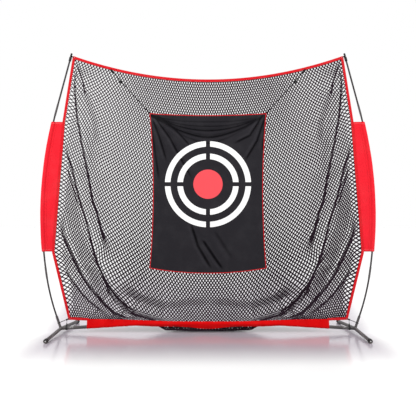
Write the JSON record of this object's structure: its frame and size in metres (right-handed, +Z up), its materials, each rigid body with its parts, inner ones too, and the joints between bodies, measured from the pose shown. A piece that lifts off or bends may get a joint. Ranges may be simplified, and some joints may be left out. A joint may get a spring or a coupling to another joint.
{
  "type": "golf chipping net",
  "caption": "Free-standing practice net: bowed poles on a two-footed steel base hold a slack mesh bag behind a hanging cloth bullseye target, with side flaps and a bottom band.",
  "frame": {"origin": "on the floor, at the middle of the net's width, under the plane of the poles", "axes": "+X to the right seen from the front, +Y back from the player into the net, +Z up"},
  "size_m": [2.5494, 0.9387, 2.1323],
  "materials": {
    "steel_tube": "powder-coated charcoal steel",
    "rubber_cap": "ribbed moulded rubber",
    "bright_metal": "zinc-plated",
    "fibreglass": "dark grey pultruded rod, satin",
    "black_plastic": "moulded, satin",
    "black_elastic": "braided elastic",
    "red_webbing": "folded woven webbing",
    "net_cord": "knitted polyester mesh",
    "red_cloth": "woven polyester cloth",
    "black_webbing": "woven webbing",
    "black_cloth": "coated woven polyester"
  },
  "bodies": {
    "frame": {"left_foot_tube": "steel_tube", "right_foot_tube": "steel_tube", "left_corner_joint": "steel_tube", "right_corner_joint": "steel_tube", "left_front_cap": "rubber_cap", "right_front_cap": "rubber_cap", "left_rear_cap": "rubber_cap", "right_rear_cap": "rubber_cap", "left_crossbar_tube": "steel_tube", "right_crossbar_tube": "steel_tube", "center_crossbar_tube": "steel_tube", "crossbar_joiners": "steel_tube", "left_snap_spring": "bright_metal", "right_snap_spring": "bright_metal", "left_pole_1": "fibreglass", "left_pole_2": "fibreglass", "left_pole_3": "fibreglass", "left_pole_4": "fibreglass", "left_pole_5": "fibreglass", "right_pole_1": "fibreglass", "right_pole_2": "fibreglass", "right_pole_3": "fibreglass", "right_pole_4": "fibreglass", "right_pole_5": "fibreglass", "left_pole_ferrules": "steel_tube", "right_pole_ferrules": "steel_tube", "shock_cords": "black_elastic", "left_tip_cap": "black_plastic", "right_tip_cap": "black_plastic", "left_top_loop": "black_elastic", "right_top_loop": "black_elastic", "top_binding": "red_webbing", "left_side_binding": "red_webbing", "right_side_binding": "red_webbing", "bottom_bindings": "red_webbing", "net_grommets": "bright_metal", "net": "net_cord", "left_side_flap": "red_cloth", "right_side_flap": "red_cloth", "bottom_band": "red_cloth", "left_bottom_elastic": "black_elastic", "right_bottom_elastic": "black_elastic", "bottom_beads": "black_plastic", "left_stub_hook": "black_plastic", "right_stub_hook": "black_plastic", "target_straps": "black_webbing", "target_rings": "bright_metal"},
    "target": {"target_cloth": "black_cloth", "target_binding": "red_webbing", "target_tabs": "black_webbing", "left_target_cord": "black_elastic", "right_target_cord": "black_elastic"},
    "left_lock": {"left_lock_body": "black_plastic", "left_lock_spring": "bright_metal"},
    "right_lock": {"right_lock_body": "black_plastic", "right_lock_spring": "bright_metal"},
    "left_plunger": {"left_lock_plunger": "black_plastic"},
    "right_plunger": {"right_lock_plunger": "black_plastic"},
    "left_button": {"left_snap_button": "bright_metal"},
    "right_button": {"right_snap_button": "bright_metal"}
  },
  "joints": [
    {"name": "target_swing", "type": "hinge", "parent": "frame", "child": "target", "pos_m": [0, -0.0032, 1.97449], "axis": [1, 0, 0], "range_deg": [-45, 5]},
    {"name": "left_cord_lock_slide", "type": "slide", "parent": "target", "child": "left_lock", "axis": [0.6657, 0, -0.7462], "range_m": [-0.03, 0.03]},
    {"name": "left_lock_press", "type": "slide", "parent": "left_lock", "child": "left_plunger", "axis": [0.7462, 0, 0.6657], "range_m": [0, 0.004], "stiffness_N_per_m": 500, "springref_m": -0.0005, "deforming": ["left_lock_spring"]},
    {"name": "left_snap_press", "type": "slide", "parent": "frame", "child": "left_button", "axis": [0, -1, 0], "range_m": [0, 0.004], "stiffness_N_per_m": 1500, "springref_m": -0.0005, "deforming": ["left_snap_spring"]},
    {"name": "right_cord_lock_slide", "type": "slide", "parent": "target", "child": "right_lock", "axis": [-0.6657, 0, -0.7462], "range_m": [-0.03, 0.03]},
    {"name": "right_lock_press", "type": "slide", "parent": "right_lock", "child": "right_plunger", "axis": [-0.7462, 0, 0.6657], "range_m": [0, 0.004], "stiffness_N_per_m": 500, "springref_m": -0.0005, "deforming": ["right_lock_spring"]},
    {"name": "right_snap_press", "type": "slide", "parent": "frame", "child": "right_button", "axis": [0, -1, 0], "range_m": [0, 0.004], "stiffness_N_per_m": 1500, "springref_m": -0.0005, "deforming": ["right_snap_spring"]}
  ]
}
